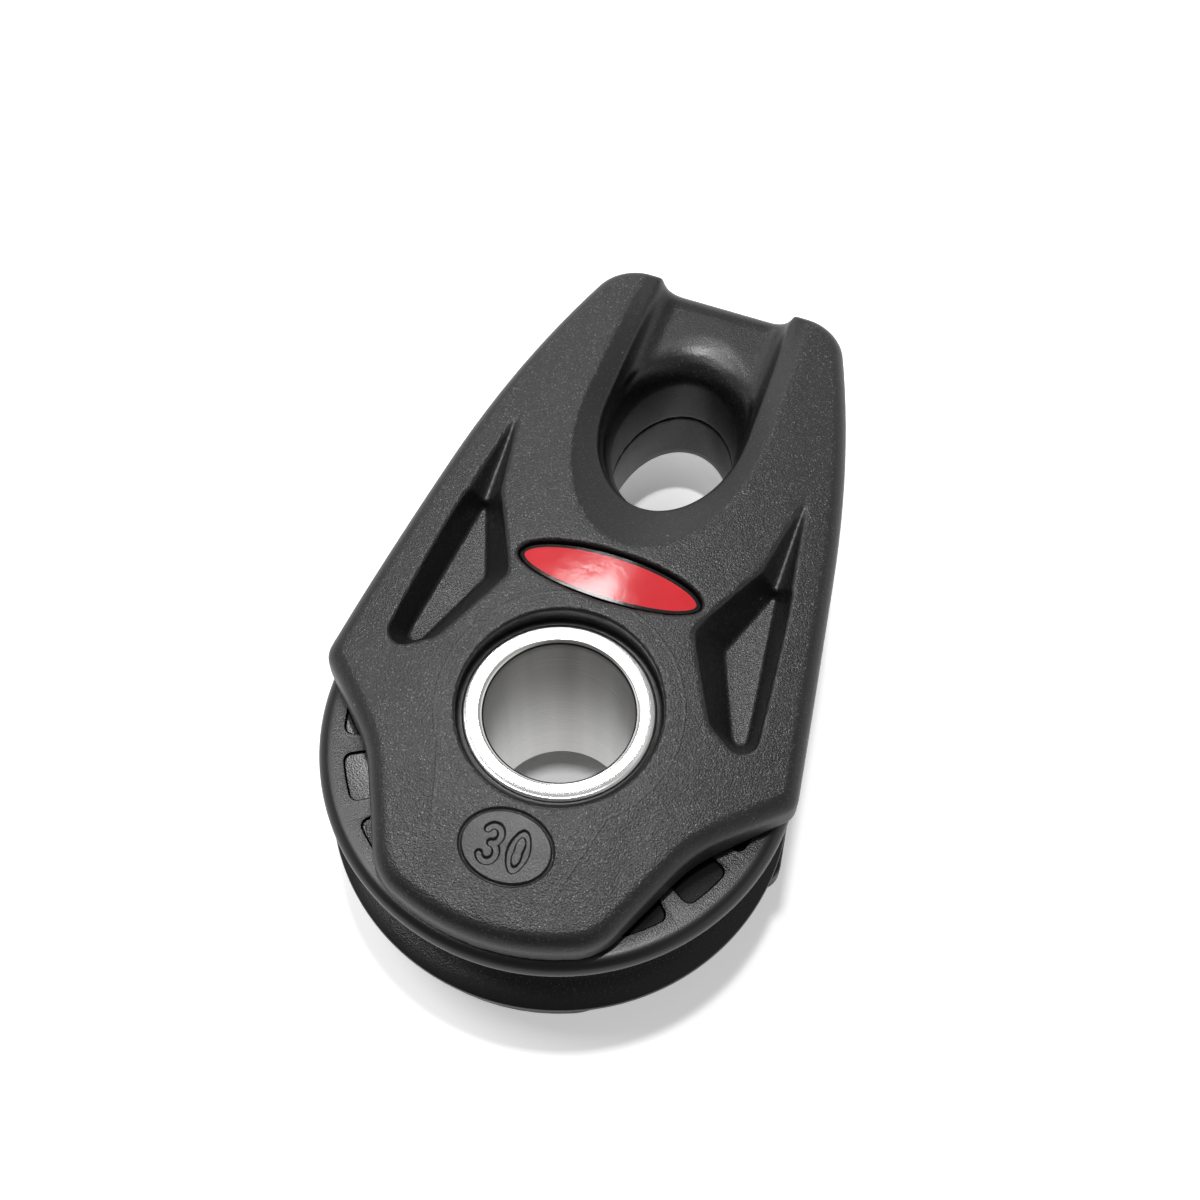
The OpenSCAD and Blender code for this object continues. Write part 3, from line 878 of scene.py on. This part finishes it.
# %% Sheave plastic
def paint_sheave(obj):
    """The masks of the sheave; lengths in millimetres."""
    x, y, z = places_of(obj).T
    radius, height = np.hypot(x, y), abs(z)
    flat = ramp(height, SHEAVE_HALF - 0.04, SHEAVE_HALF - 0.01) * ramp(-radius, -14.2, -14.0)
    groove = ramp(-height, -3.3, -3.1) * ramp(radius, 10.5, 11.0)
    sunk = ramp(-height, 0.12 - SHEAVE_HALF, 0.16 - SHEAVE_HALF)
    panel = sunk * (radius > 10) * (radius < 14) * (height > 3.5)
    rim = ramp(radius, 14.4, 14.7) * ramp(height, 3.2, 3.4)
    paint(obj, "grain", np.maximum(flat, groove))
    paint(obj, "polish", np.maximum(panel, 0.3 * rim))
    paint(obj, "floor_sheen", np.zeros(len(x)))
    paint(obj, "seam", np.full(len(x), NO_SEAM))


paint_sheave(sheave)
SHEAVE_PLASTIC = plastic("sheave_plastic", (0.0045, 0.0046, 0.0047), 40.0, 0.36, 10000.0, 0.045)
sheave.data.materials.append(SHEAVE_PLASTIC)
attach(sheave, "sheave")
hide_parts("sheave")
print("sheave plastic has", len(SHEAVE_PLASTIC.node_tree.nodes), "nodes")

# %% [markdown]
# Each badge is a thin oval plate under a clear gloss, red inside a black border. Insets make the
# border, and cuts across it let the plate follow the crown of the cheek. Its lacquer is a plain
# glossy shader with faint clouds, which also serves the bearing further down with other values.

# %% Badges
BADGE_Y = 9.2
badge_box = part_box("front_badge")
BADGE_HALF_X = badge_box[1][0] / MM
BADGE_HALF_Y = (badge_box[1][1] - badge_box[0][1]) / 2 / MM
BADGE_LOW = badge_box[0][2] / MM
BADGE_DROP = 0.35
EDGE_DROP = 0.05
INSETS = (0.05, 0.16, 0.04)
CUTS_X = np.arange(-3.6, 3.7, 0.4)
CUTS_Y = (-0.7, -0.35, 0, 0.35, 0.7)


def cloudy_plastic(name, colour, rough, looks):
    """Smooth plastic or lacquer with clouds in it.

    The looks are the clouds' scale and detail, the least and most colour, the least and most
    roughness beside rough, and the relief's depth in millimetres and strength.
    """
    scale, detail, tones, spread, depth, strength = looks
    material, tree, shader = new_material(name)
    cloud = clouds(tree, own_place(tree), scale, detail)
    tone = mix_colour(tree, cloud, shade(colour, tones[0]), shade(colour, tones[1]))
    roughness = mix_value(tree, cloud, rough + spread[0], rough + spread[1])
    finish(tree, shader, tone, roughness, cloud, depth, strength)
    return material


LACQUER = (500.0, 5.0, (0.85, 1.15), (-0.04, 0.06), 0.03, 0.6)
RED = cloudy_plastic("badge_red", (0.56, 0.022, 0.03), 0.1, LACQUER)
BLACK = cloudy_plastic("badge_black", (0.006, 0.006, 0.006), 0.1, LACQUER)


def cut_across(bm, place, normal):
    """Cut all faces along a plane and keep both sides."""
    bmesh.ops.bisect_plane(bm, geom=bm.verts[:] + bm.edges[:] + bm.faces[:], plane_co=place, plane_no=normal)


def badge_plate(name, side):
    """An oval plate with a border, following the cheek's crown on one side."""
    bm = bmesh.new()
    bmesh.ops.create_circle(bm, cap_ends=True, segments=96, radius=mm(1))
    bmesh.ops.scale(bm, verts=bm.verts, vec=(BADGE_HALF_X, BADGE_HALF_Y, 1))
    bmesh.ops.translate(bm, verts=bm.verts, vec=mm(0, BADGE_Y, 0))
    raised = bmesh.ops.extrude_face_region(bm, geom=bm.faces[:])["geom"]
    lid = [f for f in raised if isinstance(f, bmesh.types.BMFace)][0]
    bmesh.ops.translate(bm, verts=lid.verts, vec=mm(0, 0, 1))
    for width in INSETS:
        bmesh.ops.inset_region(bm, faces=[lid], thickness=mm(width))
    lid.material_index = 1
    for cut in CUTS_X:
        cut_across(bm, mm(cut, 0, 0), (1, 0, 0))
    for cut in CUTS_Y:
        cut_across(bm, mm(0, BADGE_Y + cut, 0), (0, 1, 0))
    for vert in bm.verts:
        x, y = vert.co.x / MM, vert.co.y / MM
        if vert.co.z > mm(0.5):
            on_edge = math.hypot(x / BADGE_HALF_X, (y - BADGE_Y) / BADGE_HALF_Y) > 0.99
            vert.co.z = mm(float(crown_height(x, np.array(y))) - BADGE_DROP - EDGE_DROP * on_edge)
        else:
            vert.co.z = mm(BADGE_LOW)
    if side < 0:
        bmesh.ops.scale(bm, verts=bm.verts, vec=(1, 1, -1))
    plate = object_from(bm, name)
    plate.data.materials.append(BLACK)
    plate.data.materials.append(RED)
    sharpen(plate, 30)
    return plate


for name, solid, side in (("front_badge_plate", "front_badge", 1), ("rear_badge_plate", "rear_badge", -1)):
    plate = badge_plate(name, side)
    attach(plate, "block")
    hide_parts(solid)
print("badges", round(2 * BADGE_HALF_X, 2), "x", round(2 * BADGE_HALF_Y, 2), "mm")

# %% [markdown]
# The bearing is out of sight inside the sheave. Its solids already have their true shapes, so they
# stay as they are and only get their finish: cream races of acetal and polished amber balls.

# %% Bearing
ACETAL = (900.0, 4.0, (0.88, 1.1), (-0.06, 0.08), 0.01, 0.5)
RACE = cloudy_plastic("race_plastic", (0.66, 0.63, 0.56), 0.4, ACETAL)
BALL = cloudy_plastic("ball_plastic", (0.78, 0.68, 0.48), 0.2, ACETAL)
for name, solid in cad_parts.items():
    if name.startswith(("inner_race", "ball_")):
        solid.data.materials.clear()
        solid.data.materials.append(RACE if name.startswith("inner_race") else BALL)
print("bearing dressed:", sum(name.startswith("ball_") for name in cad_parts), "balls")
